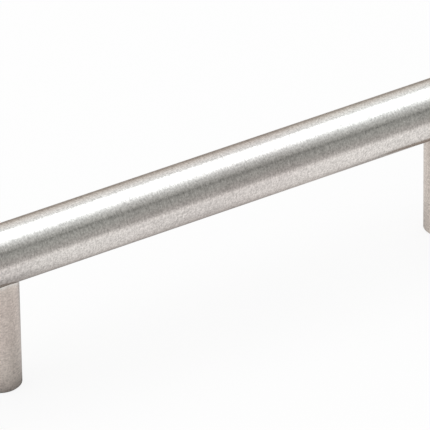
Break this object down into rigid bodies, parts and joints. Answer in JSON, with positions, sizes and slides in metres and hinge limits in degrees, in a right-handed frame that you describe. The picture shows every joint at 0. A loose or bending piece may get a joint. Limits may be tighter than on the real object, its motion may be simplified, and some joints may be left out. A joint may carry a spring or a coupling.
{
  "type": "t bar cabinet pull",
  "caption": "Straight round bar pull for a cabinet door or drawer front, held on round posts coped to the bar, with a tapped hole in each post's foot for a screw through the door.",
  "frame": {"origin": "on the door's face, midway between the feet of the posts", "axes": "+X along the bar, +Y across the bar in the plane of the door, +Z out of the door towards the hand"},
  "size_m": [0.156, 0.011, 0.032],
  "materials": {
    "satin_steel": "fine satin, brushed round the bar and the posts",
    "stud_steel": "plain dark steel, as machine screws come"
  },
  "bodies": {
    "root": {"bar": "satin_steel", "post_left": "satin_steel", "post_right": "satin_steel", "stud_left": "stud_steel", "stud_right": "stud_steel"}
  },
  "joints": []
}
